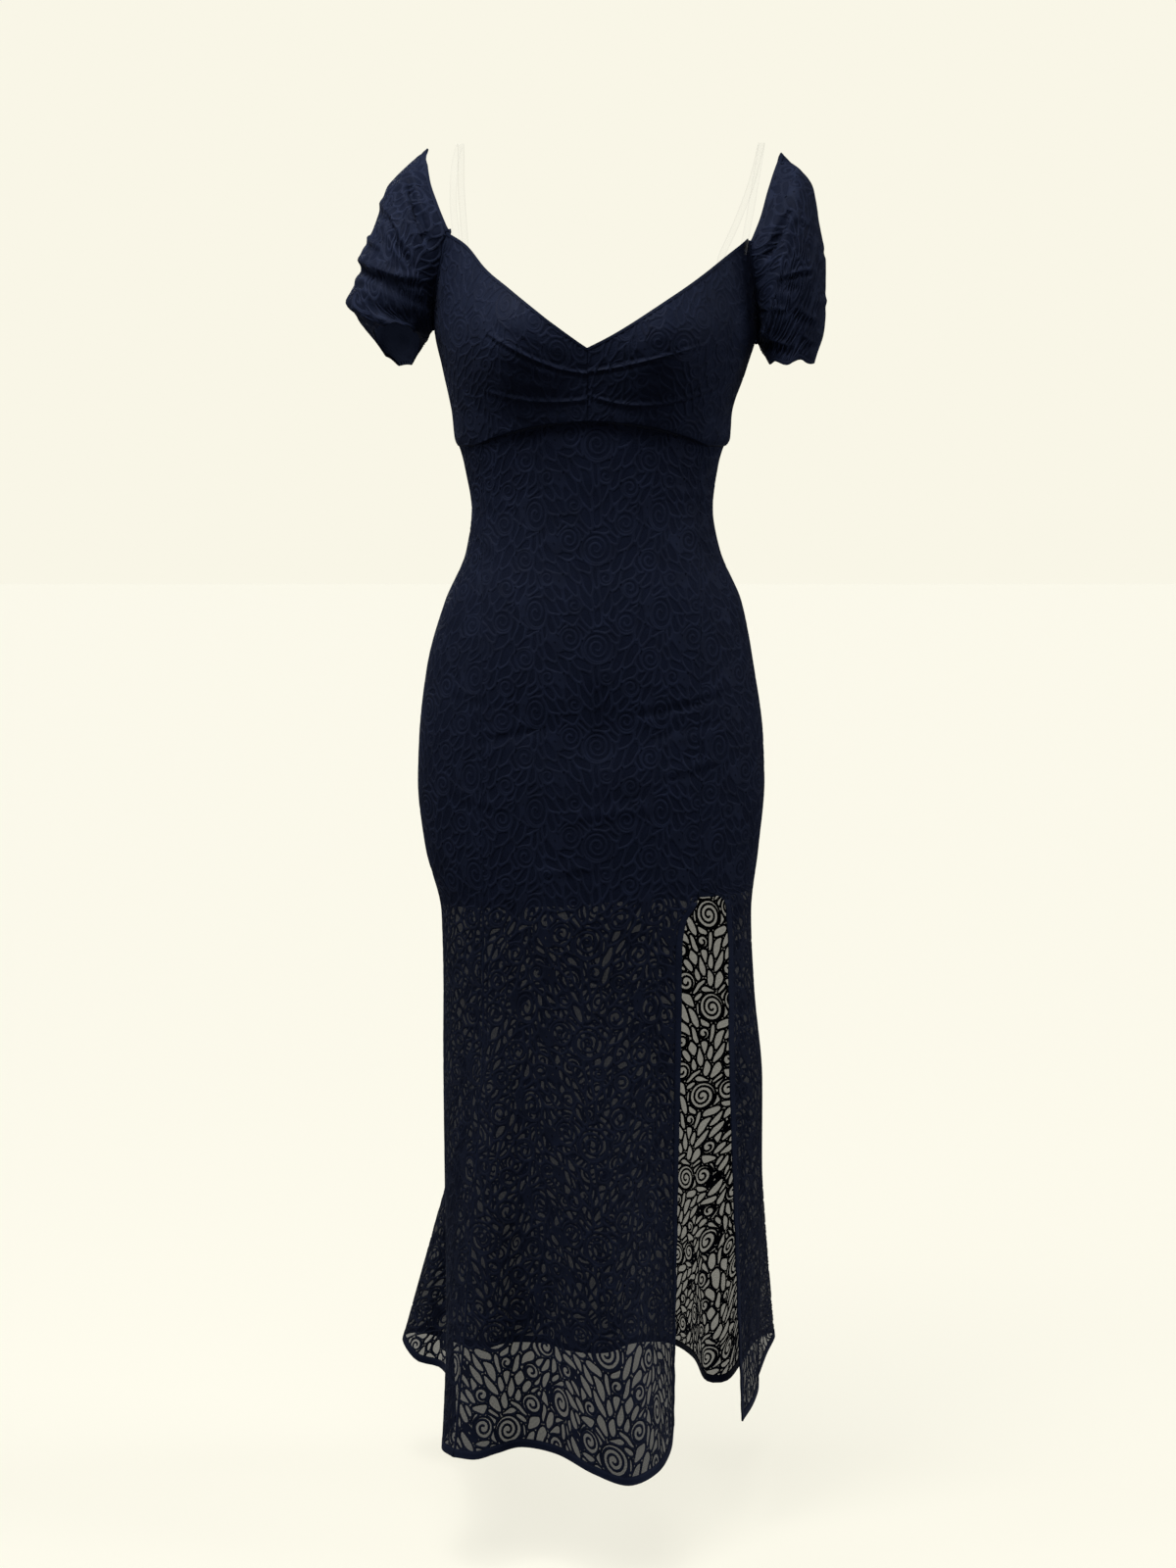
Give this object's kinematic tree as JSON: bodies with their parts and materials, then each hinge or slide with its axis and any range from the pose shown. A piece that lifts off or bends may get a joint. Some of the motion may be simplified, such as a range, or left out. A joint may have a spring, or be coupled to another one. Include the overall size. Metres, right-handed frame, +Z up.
{
  "type": "lace mesh maxi dress, worn shape",
  "caption": "Fitted lace maxi dress held in its worn shape: V neck with gathered cups, off-shoulder puff sleeves, clear straps, lining to mid-thigh, trumpet skirt with a slit.",
  "frame": {"origin": "the middle of the wearer's body at bust level, where the dress is held", "axes": "+Z up, the front of the dress faces -Y, +X is the wearer's left (image right)"},
  "size_m": [0.4794, 0.4519, 1.3105],
  "materials": {
    "lace": "matte stretch lace, rose and scroll pattern on fine net, very dark navy",
    "lining": "smooth knitted lining, very dark navy, slight sheen",
    "clear_strap": "clear glossy plastic band"
  },
  "bodies": {
    "root": {"cup_left": "lace", "cup_right": "lace", "back_bodice": "lace", "front_panel": "lace", "side_front_left": "lace", "side_front_right": "lace", "back_panel": "lace", "lining_front": "lining", "lining_back": "lining", "sleeve_left": "lace", "sleeve_right": "lace", "strap_left": "clear_strap", "strap_right": "clear_strap"}
  },
  "joints": []
}
